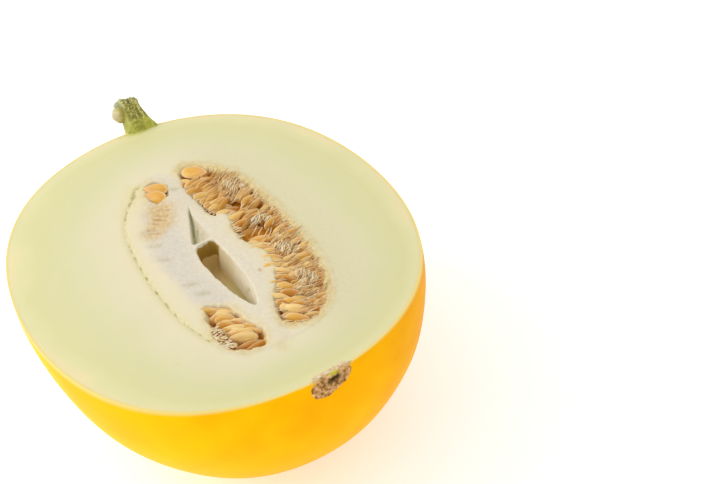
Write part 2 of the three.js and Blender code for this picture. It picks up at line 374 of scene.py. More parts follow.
def spongy_seed_pulp():
    """The cleft's colour changes with depth: pale at the top of its walls, olive below (partly the tissue's own
    tint, partly painted shade), with painted shade in darker walls towards the stem end and a brown painted
    shadow at the top of the end wall.
    """
    material, add, place, colour = moist_tissue("spongy_seed_pulp", [
        GOLDEN, ("white", "#D6CCB4", "#DED4BD"), ("cool", "#CCC3B2", "#D4CCBC"),
        # fold and slit are painted shade: greyer in the shallow cleft and its dimples, greyer olive along its
        # slit and crease
        ("stain", "#C6AA70", "#D9C096"), ("slot", "#A87B48", "#C69C6C"), ("fold", "#B6AB8C", "#CABF9F"),
        # bed is dark amber, partly the wet tissue's own colour and partly painted shade between the seeds
        ("bed", "#9E5800", "#C98610"), ("slit", "#B4B284", "#C6C49A"), *SEAM,
    ])
    x, z = (add("SeparateXYZ", {0: place}, out=axis) for axis in (0, 2))
    ripple = add("TexNoise", {"Vector": place, "Scale": 220, "Detail": 3})
    height = add("Math", {0: ripple, 1: 0.003, 2: z}, **TIMES_AND_ADD)

    def below(depth, part):
        """What lies deeper than this under the face, in one part of the pulp."""
        top = FACE.z + 0.0015 - depth
        deeper = add("MapRange", {0: height, 1: top, 2: top - 0.0008}, **SOFT)
        return add("Math", {0: deeper, 1: part}, **TIMES)

    in_cleft = add("Attribute", attribute_name="wall", out="Fac")
    walls = below(0.0006, in_cleft)
    near_end = add("MapRange", {0: x, 1: 0.005, 2: 0.003}, **SOFT)
    end_wall = add("Math", {0: near_end, 1: walls}, **TIMES)
    along_floor = add("MapRange", {0: x, 1: 0.002, 2: 0.045}, **SOFT)
    olive = add("ValToRGB", {0: along_floor}, stops=[(0.0, "#E0C488"), (1.0, "#CBC08A"), (0.35, "#DACA92")])
    flecks = add("TexNoise", {"Vector": place, "Scale": 150, "Detail": 3})
    wall = add("ValToRGB", {0: flecks}, stops=[(0.3, "#A89260"), (0.44, "#E6DCC4"), (0.38, "#DACEB2")])
    # painted shade: the walls are painted darker towards the stem end
    towards_end = add("MapRange", {0: x, 1: 0.03, 2: 0.008}, **SOFT)
    wall = add("Mix", {0: towards_end, 6: wall, 7: "#D1C19C"}, **BLEND)
    # painted shade: a brown shadow over the top of the end wall under the rim, and the olive below 10 mm, which
    # is partly the deep tissue's own tint
    for share, over in (
        (walls, wall), (end_wall, "#A07E30"), (below(0.01, in_cleft), olive),
        (below(0.0066, end_wall), "#D8BC7C"),
    ):
        colour = add("Mix", {0: share, 6: colour, 7: over}, **BLEND)
    return shade(material, {"Base Color": colour})


PULP_FINISH = spongy_seed_pulp()

# %% [markdown]
# A fresh seed coat is smooth, wet and golden; along its thin margin it is painted paler, a painted highlight of
# the wet rim. Its slimy film gives it a clear shine over the satin coat. The threads that hold the seeds are
# pale, half-clear and just as wet.

# %% Wet seed coat and threads
def wet_seed_coat():
    material, add, place = new_finish("wet_seed_coat")
    margin, tone, across, tip = (
        add("Attribute", attribute_name=name, out="Fac") for name in ("margin", "tone", "across", "tip")
    )
    tint = add("TexNoise", {"Vector": place, "Scale": 130, "Detail": 3})
    # fine streaks run along a seed, other ones on each seed
    apart = add("Math", {0: tone, 1: 90}, **TIMES)
    lane = add("CombineXYZ", {0: across, 1: apart, 2: tint})
    streaks = add("TexNoise", {"Vector": lane, "Scale": 1.6, "Detail": 3})
    streaked = add("Mix", {0: 0.5, 2: tint, 3: streaks})
    mixed = add("Mix", {0: 0.45, 2: streaked, 3: tone})
    colour = add("ValToRGB", {0: mixed}, stops=[(0.22, "#BC7208"), (0.78, "#F2D48E"), (0.5, "#E2B04C")])
    # the paler margin is a painted highlight along the wet rim; the tip's colour is the seed's own
    for where, strength, over in ((tip, 0.5, "#DDA67A"), (margin, 0.55, "#F3D6A4")):
        share = add("Math", {0: where, 1: strength}, **TIMES)
        colour = add("Mix", {0: share, 6: colour, 7: over}, **BLEND)
    grain = add("TexNoise", {"Vector": place, "Scale": 1500, "Detail": 2})
    return shade(material, {
        "Base Color": colour, "Roughness": 0.35, "IOR": 1.45, "Specular IOR Level": 0.35,
        "Normal": add("Bump", {"Strength": 0.15, "Distance": 0.0002, "Height": grain}),
        "Coat Weight": 0.2, "Coat Roughness": 0.15,
        "Subsurface Weight": 0.15, "Subsurface Radius": (1, 0.6, 0.25), "Subsurface Scale": 0.0015,
    })


def wet_pulp_threads():
    material, add, place = new_finish("wet_pulp_threads")
    tint = add("TexNoise", {"Vector": place, "Scale": 300, "Detail": 3})
    tone = add("Attribute", attribute_name="tone", out="Fac")
    tinted = add("Mix", {0: 0.5, 2: tint, 3: tone})
    return shade(material, {
        "Base Color": add(
            "ValToRGB", {0: tinted}, stops=[(0.3, "#C08C4A"), (0.7, "#F3E2BE"), (0.5, "#E4C28C")],
        ),
        "Roughness": 0.3, "IOR": 1.36, "Coat Weight": 0.25, "Coat Roughness": 0.12,
        "Subsurface Weight": 0.3, "Subsurface Radius": (1, 0.7, 0.4), "Subsurface Scale": 0.001,
    })


SEED_FINISH, THREAD_FINISH = wet_seed_coat(), wet_pulp_threads()

# %% Dry stalk, side scar and cork
def dry_stalk():
    material, add, place = new_finish("dry_melon_stalk")
    along, groove = (add("Attribute", attribute_name=name, out="Fac") for name in ("along", "groove"))
    # the streaks run along the stalk, which leans over
    upright = add("Mapping", {"Vector": place, "Rotation": (0, 0.93, 0)})
    drawn = add("Mapping", {"Vector": upright, "Scale": (700, 700, 110)})
    streaks = add("TexNoise", {"Vector": drawn, "Scale": 1, "Detail": 4})
    specks = add("TexNoise", {"Vector": place, "Scale": 1100, "Detail": 3})
    grain = add("Mix", {0: 0.5, 2: streaks, 3: specks})
    bark = add("ValToRGB", {0: grain}, stops=[(0.42, "#3A3210"), (0.58, "#D6D082"), (0.5, "#8C8628")])
    colour = add("ValToRGB", {0: along}, stops=[
        (0.0, "#C8C856"), (1.0, "#AAB080"), (0.2, "#BCBC44"), (0.45, "#98962C"), (0.8, "#98943E"),
    ])
    # the bark is thin and green at the foot and along the side where the shoot grew
    y = add("SeparateXYZ", {0: place}, out=1)
    young_side = add("MapRange", {0: y, 1: 0.0105, 2: 0.0075}, **SOFT)
    above_foot = add("MapRange", {0: along, 1: 0.05, 2: 0.42}, **SOFT)
    thickness = add("Math", {0: above_foot, 1: 0.66}, **TIMES)
    thickness = add("Math", {0: young_side, 1: -0.3, 2: thickness}, use_clamp=True, **TIMES_AND_ADD)
    near_top = add("MapRange", {0: along, 1: 0.7, 2: 0.9}, **SOFT)
    young = add("Mix", {0: near_top, 6: "#B4B862", 7: "#BCC4A6"}, **BLEND)
    # the grooves between the ridges are painted darker: painted shade
    for share, over in (
        (thickness, bark), (add("Math", {0: young_side, 1: 0.45}, **TIMES), young),
        (add("Math", {0: groove, 1: 0.25}, **TIMES), "#5C5320"),
    ):
        colour = add("Mix", {0: share, 6: colour, 7: over}, **BLEND)
    return shade(material, {
        "Base Color": colour, "Roughness": 0.75,
        "Normal": add("Bump", {"Strength": 0.9, "Distance": 0.0006, "Height": grain}),
    })


def side_shoot_scar():
    material, add, place = new_finish("pale_side_shoot_scar")
    clouds = add("TexNoise", {"Vector": place, "Scale": 500, "Detail": 4})
    outside = add("ValToRGB", {0: clouds}, stops=[(0.3, "#B4A578"), (0.7, "#D6CDAE")])
    by_stalk = add("ValToRGB", {0: clouds}, stops=[(0.3, "#B0A04C"), (0.7, "#C4BC5C")])
    y = add("SeparateXYZ", {0: place}, out=1)
    towards_stalk = add("MapRange", {0: y, 1: 0.004, 2: 0.0082}, **SOFT)
    return shade(material, {
        "Base Color": add("Mix", {0: towards_stalk, 6: outside, 7: by_stalk}, **BLEND), "Roughness": 0.7,
        "Normal": add("Bump", {"Strength": 0.4, "Distance": 0.0003, "Height": clouds}),
    })


def corky_crust():
    material, add, place = new_finish("corky_crust")
    grains = add("TexNoise", {"Vector": place, "Scale": 620, "Detail": 5})
    colour = add("ValToRGB", {0: grains}, stops=[(0.34, "#704A12"), (0.66, "#E4BC8A"), (0.5, "#BE8C52")])
    for attribute, over in (("moss", "#C8BE3C"), ("pit", "#402A04")):
        share = add("Attribute", attribute_name=attribute, out="Fac")
        colour = add("Mix", {0: share, 6: colour, 7: over}, **BLEND)
    return shade(material, {
        "Base Color": colour, "Roughness": 0.85, "Specular IOR Level": 0.2,
        "Normal": add("Bump", {"Strength": 0.8, "Distance": 0.0006, "Height": grains}),
    })


STEM_FINISH, KNOB_FINISH, CORK_FINISH = dry_stalk(), side_shoot_scar(), corky_crust()


# %% Handing a piece over to the frame
def hand_over(piece, name, finish, replaced=(), crease=None):
    """Names a finished piece, gives it its finish, hangs it under the root, and hides the CAD parts that it
    stands for.
    """
    piece.name = name
    piece.data.name = name
    piece.data.materials.clear()
    piece.data.materials.append(finish)
    select_only(piece)
    if crease is None:
        bpy.ops.object.shade_smooth()
    else:
        bpy.ops.object.shade_smooth_by_angle(angle=math.radians(crease))
    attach(piece, "root")
    if replaced:
        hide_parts(*replaced)
    return piece


# %% [markdown]
# ## The melon's form
#
# Both the rind and the flesh follow one form: a solid of revolution with blunt ends and faint lobes. A
# point is inside it when it is nearer to the melon's long axis than the radius there. The lower half
# is made from a UV sphere: its upper half is bisected away, and each point left is slid along its ray from the
# middle of the cut face until it meets the form. The rim then lies exactly in the cut.

# %% The form and the bowl that follows it
LOBES = 10
LOBE_HEIGHT = 0.45


def outside_melon(points, skin=0.0):
    x, y, z = points.T
    up = z + CUT_ABOVE_AXIS
    turn = np.arccos(np.clip(x / (HALF_LENGTH - skin), -1, 1))
    around = np.arctan2(up, y)
    fullness = 1 + BLOSSOM_FULLNESS * np.cos(turn) + END_BLUNTNESS * np.cos(2 * turn)
    radius = (RADIUS - skin) * np.sin(turn) * fullness / (1 - END_BLUNTNESS)
    uneven = np.cos(LOBES * around + 1.5 * np.sin(2 * around) + 0.5 * np.cos(turn))
    radius -= LOBE_HEIGHT * (1 - uneven) / 2 * np.sin(turn)
    return np.hypot(y, up) > radius


def edge_between(near, far, beyond):
    """Halves the way between near and far until it finds where beyond becomes true, for each point."""
    for _ in range(40):
        half_way = (near + far) / 2
        past = beyond(half_way)
        far = np.where(past, half_way, far)
        near = np.where(past, near, half_way)
    return near


def half_bowl(rings, segments, middle, half_size, outside, **fit):
    bpy.ops.object.select_all(action="DESELECT")
    bpy.ops.mesh.primitive_uv_sphere_add(
        segments=segments, ring_count=rings, radius=1, rotation=(0, math.pi / 2, 0),
    )
    bowl = bpy.context.object
    select_only(bowl)
    bpy.ops.object.transform_apply(location=True, rotation=True, scale=True)
    with editing(bowl):
        bpy.ops.mesh.bisect(plane_co=(0, 0, 0), plane_no=(0, 0, 1), clear_outer=True)
    rays = raw_points(bowl) * half_size
    rays[np.abs(rays[:, 2]) < 1e-3, 2] = 0
    count = len(rays)
    reach = edge_between(
        np.full(count, 0.2), np.full(count, 1.6), lambda share: outside(middle + rays * share[:, None], **fit),
    )
    push_points(bowl, middle + rays * reach[:, None])
    return bowl


def flatten_rest_spot(bowl, lift=0.0):
    """The underside gives a little where the half rests, so no point goes below the floor."""
    points = points_of(bowl)
    points[:, 2] = np.maximum(points[:, 2], -FACE.z / MM + lift)
    push_points(bowl, points)


# %% The rind
FACE_MIDDLE = np.zeros(3)
MELON_REACH = np.array([HALF_LENGTH, RADIUS, RADIUS + CUT_ABOVE_AXIS])
RIND_RINGS, RIND_SEGMENTS = 120, 160
BLOSSOM_END = 50  # X from which on a place counts as the blossom end
SCAR_ON_RIM, MOSS_ON_RIM = 5.2, 5.8  # Y of the scar and of its mossy fleck, at the cut edge


def near_scar(points):
    """The cork of the blossom scar reaches over the cut edge beside it."""
    beside = np.abs(points[:, 1] - SCAR_ON_RIM) + 1.2 * rough(points, 2.5, 24)
    return smooth_step(8.6, 6.4, beside) * (points[:, 0] > BLOSSOM_END)


def make_rind():
    rind = half_bowl(RIND_RINGS, RIND_SEGMENTS, FACE_MIDDLE, MELON_REACH, outside_melon)
    flatten_rest_spot(rind)
    add_modifier(rind, "SOLIDIFY", thickness=RIND * MM, offset=-1, use_even_offset=True)
    points = points_of(rind)
    points[points[:, 2] > -0.3, 2] = 0
    push_points(rind, points)
    x, y, z = points.T
    store(rind, "cut", z > -0.01)
    store(rind, "corky", near_scar(points) * smooth_step(-1.5, -0.5, z))
    store(rind, "moss", hump(y - MOSS_ON_RIM, 1.9) * (x > BLOSSOM_END) * (z > -0.6))
    return hand_over(rind, "rind", RIND_FINISH, ["melon_half"], crease=40)


rind = make_rind()
print("rind:", len(rind.data.polygons), "faces")

# %% [markdown]
# ## The cut through the pulp
#
# All relief of the cut face is one height map: for any place in X and Y it says how deep the surface lies.
# The seed beds are sunk hollows with ragged edges, the clefts are open folds, and a thin crevice parts
# the pulp from the flesh on one side. Outlines are a few corner points with a smooth curve through them.

# %% Distances to outlines and lines
def smooth_line(corners, closed=False, steps=6):
    """A smooth curve through the corners, as points."""
    corners = np.array(corners, dtype=float)
    count = len(corners)
    made = []
    for i in range(count if closed else count - 1):
        near = [i - 1, i, i + 1, i + 2]
        near = [k % count for k in near] if closed else [min(max(k, 0), count - 1) for k in near]
        a, b, c, d = corners[near]
        for t in np.arange(steps) / steps:
            bend = (a - 2.5 * b + 2 * c - d / 2) * t**2 + (3 * b - a - 3 * c + d) * t**3 / 2
            made.append(b + (c - a) * t / 2 + bend)
    if not closed:
        made.append(corners[-1])
    return np.array(made)


def distance_to(points, line, closed=False):
    """How far each point is from a line, and which share of the line's length is nearest to it."""
    starts = line if closed else line[:-1]
    ends = np.roll(line, -1, axis=0) if closed else line[1:]
    best = np.full(len(points), 1e9)
    along = np.zeros(len(points))
    for number, (a, b) in enumerate(zip(starts, ends)):
        run = b - a
        share = np.clip(((points[:, :2] - a) @ run) / max(run @ run, 1e-9), 0, 1)
        gap = np.hypot(*(points[:, :2] - a - share[:, None] * run).T)
        along = np.where(gap < best, (number + share) / len(starts), along)
        best = np.minimum(best, gap)
    return best, along


def inside(points, outline):
    """How far each point is inside a closed outline; outside it the distance is negative."""
    gap, _ = distance_to(points, outline, closed=True)
    x, y = points[:, 0], points[:, 1]
    within = np.zeros(len(points), dtype=bool)
    for (ax, ay), (bx, by) in zip(outline, np.roll(outline, -1, axis=0)):
        if ay != by:
            within ^= ((ay > y) != (by > y)) & (x < (bx - ax) * (y - ay) / (by - ay) + ax)
    return np.where(within, gap, -gap)


# %% Where the beds, clefts and folds lie
# corners that two outlines share: the pulp's edge along the crevice, and the long bed's outer side
CREVICE_SIDE = [
    (-57, -8.5), (-50, -13.6), (-45, -17.5), (-34, -22.8), (-20, -26), (0, -28), (20, -28.6), (40, -27.4),
    (52, -24.8),
]
OUTER_SIDE = [
    (-60, 14), (-52, 24.5), (-36, 31.4), (-8, 34.4), (22, 34.4), (46, 31.6), (61, 26), (71.5, 16),
]
PULP_EDGE = smooth_line([
    (-62, 8), (-61.5, -1), *CREVICE_SIDE, (62, -22.5), (70, -19), (75, -10), (76, 0), (75, 12), (70, 22),
    (62, 28.5), (47, 33.8), (22, 36.6), (-8, 36.6), (-36, 33.6), (-52, 26.5), (-60, 17.5),
], closed=True)
CREVICE = smooth_line([(-60, -5), *CREVICE_SIDE, (60, -23)])
LONG_BED = smooth_line([
    *OUTER_SIDE, (67, 4.6), (52, 6.4), (41, 13), (34, 16), (26, 18), (18, 17), (11, 14.4), (0, 13.4),
    (-14, 16.2), (-18, 10.5), (-34, 9), (-46, 9.8),
], closed=True)
OUTER_SHORE = smooth_line([*OUTER_SIDE, (68, 7)])
SHORT_BED = smooth_line([
    (37, -16.5), (43, -9), (56, -6), (66, -3.4), (73, -8), (68, -18), (58, -21), (48, -19.6),
], closed=True)
STEM_END_POCKET = smooth_line([
    (-58, 1), (-50, 3.5), (-43.5, 1), (-42, -4.5), (-47, -6.6), (-56, -4.4),
], closed=True)
DEEP_CLEFT = smooth_line([
    (-1.2, 3), (3, 4.8), (16, 5.3), (30, 5), (40, 3.8), (49.5, 0.2), (40, -3.2), (28, -5), (14, -6),
    (5, -5.4), (-0.6, -3.4),
], closed=True)
SHALLOW_CLEFT = smooth_line([
    (-30, 5.8), (-24, 4.7), (-14, 4.4), (-5, 4.4), (-2.6, 2), (-3.2, -4.0), (-9, -2.6), (-18, 0.6),
    (-26, 3.4),
], closed=True)
SHALLOW_CLEFT_HIGH_SIDE = smooth_line([(-30, 5.8), (-24, 4.7), (-14, 4.4), (-4, 4.6), (-1, 4.6)])
SHALLOW_CLEFT_LOW_SIDE = smooth_line([(-30, 5.8), (-26, 3.4), (-18, 0.6), (-9, -2.6), (-1, -4.6)])
THIN_SLIT = smooth_line([(-14.6, 2.8), (-11.5, 1.2), (-7.8, -0.4)])
WHITE_PULP = smooth_line([
    (-60, 5), (-48, 10), (-30, 13), (0, 15), (30, 15), (50, 9), (62, 4), (78, 3), (74, -2), (56, -6),
    (42, -12), (30, -18), (0, -19), (-25, -16), (-39, -10.5), (-47.5, -6), (-57, -1),
], closed=True)
COOL_PULP = smooth_line([
    (-38, -3), (-20, -4), (0, -7), (20, -9), (38, -7), (34, -16), (10, -19), (-12, -18), (-30, -14),
    (-40, -9),
], closed=True)
DIMPLES = [(-13, -16.6), (-2, -17), (-24, -14), (-46, 6), (20.6, -14.8), (29.4, -13)]
STAIN = smooth_line([(-35.5, -5.6), (-30, -7), (-25.5, -9.4), (-22, -14)])
# the middle and half the length of each seed whose edge just shows through the pulp
BURIED_SEEDS = [
    (-35, -4.4, 4), (-31.6, -6.6, 3.9), (-29.5, -8.6, 3.7), (-27.4, -10.6, 2.4), (-24.6, -13.4, 3.2),
    (-21.5, -13.7, 3.6),
]
ALONG_BURIED_SEEDS, ACROSS_BURIED_SEEDS = np.array([0.656, 0.755]), np.array([-0.755, 0.656])
TINY_SLOT = (30.5, 11)
BLOSSOM_TIP = (76, -2)
BED_DEPTH, CLEFT_DEPTH, FOLD_DEPTH, SLIT_DEPTH = 4.4, 13.5, 3.4, 1.3


def seam_of(points):
    """How near each point is to the crevice, for the specks in it and the pale tissue beside it."""
    gap, along = distance_to(points, CREVICE)
    ends = fade_ends(along, 0.06)
    wide = 1.1 + 1.6 * smooth_step(0.4, 0.1, along)
    strength = 0.6 + 0.08 * smooth_step(0.4, 0.15, along)
    return {"crevice": strength * hump(gap, wide) * ends, "seam": 0.6 * hump(gap, 2 * wide) * ends}


def edge_of_buried_seed(points, x, y, half_length):
    offset = points[:, :2] - (x, y)
    beside = offset @ ACROSS_BURIED_SEEDS + 0.3 * rough(points, 2.0, 17)
    along = np.abs(offset @ ALONG_BURIED_SEEDS) / half_length
    return hump(beside, 0.55) * smooth_step(1.0, 0.5, along)


def dimple(x, y):
    """A small round dent, drawn out a little along the melon."""
    return np.exp(-((x - 0.5 * y) ** 2 + 0.25 * y**2) / 2.2)


def cut_relief(points):
    """How far the cut surface lies below the face at each point, and what its colours need to know."""
    x, y = points[:, 0], points[:, 1]
    ragged = 0.9 * rough(points, 3.2, 1) + 0.5 * rough(points, 1.3, 2)
    bed = np.zeros(len(points))
    halo = np.full(len(points), -99.0)  # far outside every bed, until one is found nearer
    for outline in (LONG_BED, SHORT_BED, STEM_END_POCKET):
        within = inside(points, outline)
        bed = np.maximum(bed, smooth_step(-0.6, 3.0, within + ragged))
        halo = np.maximum(halo, within)
    # the outer shore of the long bed runs out gently
    shore, _ = distance_to(points, OUTER_SHORE)
    bed = bed * (0.3 + 0.7 * smooth_step(-0.5, 6.0, shore + 1.2 * ragged))
    # golden tissue lies around the beds, at the blossom end and along the start of the crevice
    to_crevice, along_crevice = distance_to(points, CREVICE)
    on_outer_side = 0.75 + 0.25 * smooth_step(9, 4, shore)
    at_blossom_end = smooth_step(10, 3, np.hypot(x - BLOSSOM_TIP[0], y - BLOSSOM_TIP[1]))
    golden = np.maximum(smooth_step(-7.5, 1.0, halo) * on_outer_side, 0.45 * at_blossom_end)
    golden = np.maximum(golden, 0.75 * hump(to_crevice, 2.4) * smooth_step(0.45, 0.12, along_crevice))
    # the deep cleft has steep walls, and the steepness changes along it
    within_cleft = inside(points, DEEP_CLEFT)
    steep = 1.5 + 2.6 * smooth_step(-1, 3, y) * smooth_step(0, 6, x)
    deep = smooth_step(-0.05, 1, (within_cleft + 0.3 * rough(points, 4.0, 3)) / steep)
    # the shallow cleft slopes from its high side down to its low one, with a slit in it
    low, _ = distance_to(points, SHALLOW_CLEFT_LOW_SIDE)
    high, _ = distance_to(points, SHALLOW_CLEFT_HIGH_SIDE)
    slope = high / (high + low + 0.01)
    crease = hump(low - 0.9, 0.7)
    within_fold = smooth_step(0, 1.1, inside(points, SHALLOW_CLEFT))
    fold = within_fold * (FOLD_DEPTH * slope**1.3 + 0.9 * crease)
    to_slit, along_slit = distance_to(points, THIN_SLIT)
    slit = hump(to_slit, 0.5) * np.sin(np.pi * along_slit)
    # edges of buried seeds, beads of tissue in the crevice, and dimples
    slot = sum(edge_of_buried_seed(points, *line) for line in BURIED_SEEDS)
    slot = np.maximum(slot, hump(x - TINY_SLOT[0], 1.3) * hump(y - TINY_SLOT[1], 0.7))
    beads = np.clip(0.5 + 1.3 * rough(points * (1, 1, 0), 1.5, 4), 0, 1.3)
    crevice = hump(to_crevice - 0.4 * beads, 0.8) * fade_ends(along_crevice, 0.08) * beads
    pits = sum(dimple(x - at_x, y - at_y) for at_x, at_y in DIMPLES)
    # white pulp fills the middle, cooler on one side and at the stem end, with one brown stain
    drift = 2.5 * rough(points, 7, 9)
    at_stem_end = smooth_step(-12, -38, x)
    within_white = inside(points, WHITE_PULP)
    white = smooth_step(-4.5, 2.5, within_white + drift) * (1 - 0.3 * at_stem_end)
    cool = smooth_step(-4, 3, inside(points, COOL_PULP) + drift)
    cool = np.maximum(0.85 * cool, 0.55 * at_stem_end * smooth_step(-3, 3, within_white))
    to_stain, _ = distance_to(points, STAIN)
    stain = 0.85 * smooth_step(8.5, 1.5, to_stain + 1.2 * ragged)
    stain += 0.25 * smooth_step(14, 5, to_stain + 1.5 * ragged) * at_stem_end
    folds = 0.06 * rough((points @ np.array([[0.8, 0.6, 0], [-0.25, 0.35, 0], [0, 0, 1]]).T), 3.0, 6)
    swell = (0.35 * rough(points * (0.6, 1, 1), 9, 5) + folds) * white
    depth = np.maximum.reduce([BED_DEPTH * bed, CLEFT_DEPTH * deep, fold + SLIT_DEPTH * slit * (fold > 0.1)])
    depth = depth + 0.35 * crevice + 0.6 * pits + 0.3 * slot + swell
    knows = {
        "golden": golden, "white": white * (1 - golden), "cool": cool, "stain": stain, "slot": 0.7 * slot,
        # fold and slit carry painted shade: the shallow cleft, its dimples, its slit and its crease
        "fold": np.clip(np.maximum(0.9 * within_fold, 0.7 * pits), 0, 1),
        # bed: the amber floor, partly the wet tissue's own colour and partly painted shade between the seeds
        "bed": smooth_step(0.12, 0.8, bed), "wall": smooth_step(-0.7, -0.2, within_cleft),
        "slit": np.clip(slit + within_fold * crease, 0, 1),
        **seam_of(points),
    }
    return depth, knows


# %% [markdown]
# ## The flesh
#
# The flesh is a thick bowl: one bowl just inside the rind, a smaller one for the hollow, and the cut face
# between their rims. Both bowls come from spheres with the same number of rings, so their rims have the same
# number of points, and Bridge Edge Loops joins them with even rings of faces.

# %% The flesh between the rind and the hollow
FLESH_RINGS, FLESH_SEGMENTS, HOLLOW_SEGMENTS = 150, 96, 48
FACE_CUTS = 44
HOLLOW_DEPTH = 35.0
SQUARENESS = 2.4  # 2 would make the hollow an ellipsoid; more makes it fuller
STALK_ON_RIM = (-104, 12.5, 0)


def reach_of(outline, middle, towards):
    """How far the outline is from its middle in the given directions."""
    from_middle = outline - middle[:2]
    angles = np.arctan2(from_middle[:, 1], from_middle[:, 0])
    order = np.argsort(angles)
    return np.interp(towards, angles[order], np.hypot(*from_middle.T)[order], period=2 * np.pi)


def outside_hollow(points):
    x, y, z = (points - HOLLOW_MIDDLE * (1, 1, 0)).T
    reach = reach_of(PULP_EDGE, HOLLOW_MIDDLE, np.arctan2(y, x))
    return (np.hypot(x, y) / reach) ** SQUARENESS + np.abs(z / HOLLOW_DEPTH) ** SQUARENESS > 1


def rim_of(bowl):
    points = points_of(bowl)
    rim = points[points[:, 2] > -0.001][:, :2]
    return rim[np.argsort(np.arctan2(*(rim - rim.mean(0)).T[::-1]))]


def make_flesh():
    outer = half_bowl(FLESH_RINGS, FLESH_SEGMENTS, FACE_MIDDLE, MELON_REACH, outside_melon, skin=RIND - 0.05)
    flatten_rest_spot(outer, lift=RIND)
    hollow_middle = HOLLOW_MIDDLE * (1, 1, 0)
    hollow = half_bowl(FLESH_RINGS, HOLLOW_SEGMENTS, hollow_middle, HOLLOW_HALF, outside_hollow)
    rims = rim_of(outer), rim_of(hollow)
    with editing(hollow):
        bpy.ops.mesh.flip_normals()
    select_only(outer)
    hollow.select_set(True)
    bpy.ops.object.join()
    with editing(outer):
        bpy.ops.mesh.select_mode(type="EDGE")
        bpy.ops.mesh.select_all(action="DESELECT")
        bpy.ops.mesh.select_non_manifold()
        bpy.ops.mesh.bridge_edge_loops(number_cuts=FACE_CUTS, interpolation="LINEAR")
    face_outwards(outer)
    points = points_of(outer)
    to_rind, _ = distance_to(points, rims[0], closed=True)
    to_hollow, _ = distance_to(points, rims[1], closed=True)
    on_face = points[:, 2] > -0.01
    sag = 0.25 * (rough(points, 26, 7) + 0.5 * rough(points, 9, 8))
    points[:, 2] += np.where(on_face, sag * smooth_step(0.5, 8, to_hollow) * smooth_step(0.1, 5, to_rind), 0)
    gap, along = distance_to(points, CREVICE)
    points[:, 2] -= np.where(on_face, 0.3 * hump(gap, 0.9) * fade_ends(along, 0.08), 0)
    push_points(outer, points)
    from_stalk = np.linalg.norm((points - STALK_ON_RIM) * [1, 0.55, 1], axis=1)
    # painted shade: the flesh on the +Y side by the hollow, away from the lamp, is painted greyer and darker
    painted_shade_plus_y = smooth_step(0, 34, points[:, 1]) * smooth_step(24, 4, to_hollow)
    knows = {
        "golden": cut_relief(points)[1]["golden"] * on_face,
        **{name: values * on_face for name, values in seam_of(points).items()},
        "stalk": 0.9 * smooth_step(8.0, 2.5, from_stalk),
        "corky": near_scar(points) * smooth_step(3.4, 0.4, to_rind) * on_face,
        "painted_shade_plus_y": 0.8 * painted_shade_plus_y * on_face,
        "outwards": to_hollow / (to_hollow + to_rind + 0.01),
    }
    for name, values in knows.items():
        store(outer, name, values)
    return hand_over(outer, "flesh", FLESH_FINISH, ["melon_half"], crease=40)


flesh = make_flesh()
print("flesh:", len(flesh.data.polygons), "faces")

# %% [markdown]
# ## The seed pulp
#
# The pulp is one soft mass that fills the hollow. It starts as a UV sphere whose rings are laid across
# the melon. Most of each ring becomes the cut surface: those points are spread evenly over the opening and
# sunk by the height map. The rest of the ring hangs below it and fills the hollow.

# %% The pulp in its hollow
PULP_RINGS = 300
PULP_SEGMENTS = 192
TOP_SHARE = 0.84
TUCK = 0.5  # how far the pulp's edge reaches over the flesh
ABOVE_FACE = 0.012  # keeps that edge clear of the flesh below it
PULP_DEPTH = HOLLOW_DEPTH - 1.5


def add_ball(segments, rings):
    """A UV sphere, with the angle from its pole and the angle around it for every point."""
    bpy.ops.object.select_all(action="DESELECT")
    bpy.ops.mesh.primitive_uv_sphere_add(segments=segments, ring_count=rings, radius=1)
    ball = bpy.context.object
    x, y, z = raw_points(ball).T
    return ball, np.arccos(np.clip(z, -1, 1)), np.arctan2(y, x)


def make_pulp():
    pulp, polar, around = add_ball(PULP_SEGMENTS, PULP_RINGS)
    low_x, high_x = PULP_EDGE[:, 0].min(), PULP_EDGE[:, 0].max()
    # from -1 to 1 along the pulp, with the rings a little closer together at both ends
    u = 0.25 * np.cos(polar) + 0.75 * (1 - 2 * polar / np.pi)
    x = (low_x + high_x) / 2 + (high_x - low_x + 2 * TUCK) / 2 * u
    first, last = PULP_EDGE[:, 0].argmin(), PULP_EDGE[:, 0].argmax()
    # the edge is parted at its two ends, and each ring runs from its one side to the other
    turned_edge = np.roll(PULP_EDGE, -first, axis=0)
    split = (last - first) % len(PULP_EDGE)
    left, right = turned_edge[:split + 1], np.roll(turned_edge, -split, axis=0)[:len(PULP_EDGE) - split + 1]
    y_left = np.interp(x, left[:, 0], left[:, 1])
    y_right = np.interp(x, right[::-1, 0], right[::-1, 1])
    tip = np.sin(polar) > 1e-4
    middle, half = (y_left + y_right) / 2, (y_right - y_left) / 2 + TUCK
    across = np.clip(around / (TOP_SHARE * np.pi), -1, 1)
    under = np.clip((np.abs(around) / np.pi - TOP_SHARE) / (1 - TOP_SHARE), 0, 1) * np.pi / 2
    roundness = np.sqrt(np.maximum(1 - np.abs(u) ** 3, 0))
    points = np.column_stack([
        x, middle + half * tip * across * np.cos(under), -PULP_DEPTH * roundness * np.sin(under),
    ])
    on_top = np.abs(around) <= TOP_SHARE * np.pi * 1.0001
    depth, knows = cut_relief(points)
    points[:, 2] += ABOVE_FACE - np.where(on_top, depth, 0)
    push_points(pulp, points)
    for name, values in knows.items():
        store(pulp, name, values * on_top)
    face_outwards(pulp)
    return hand_over(pulp, "seed_pulp_body", PULP_FINISH, ["seed_pulp"], crease=78)


pulp = make_pulp()
print("pulp:", len(pulp.data.polygons), "faces, depth", round(points_of(pulp)[:, 2].min(), 1), "mm")

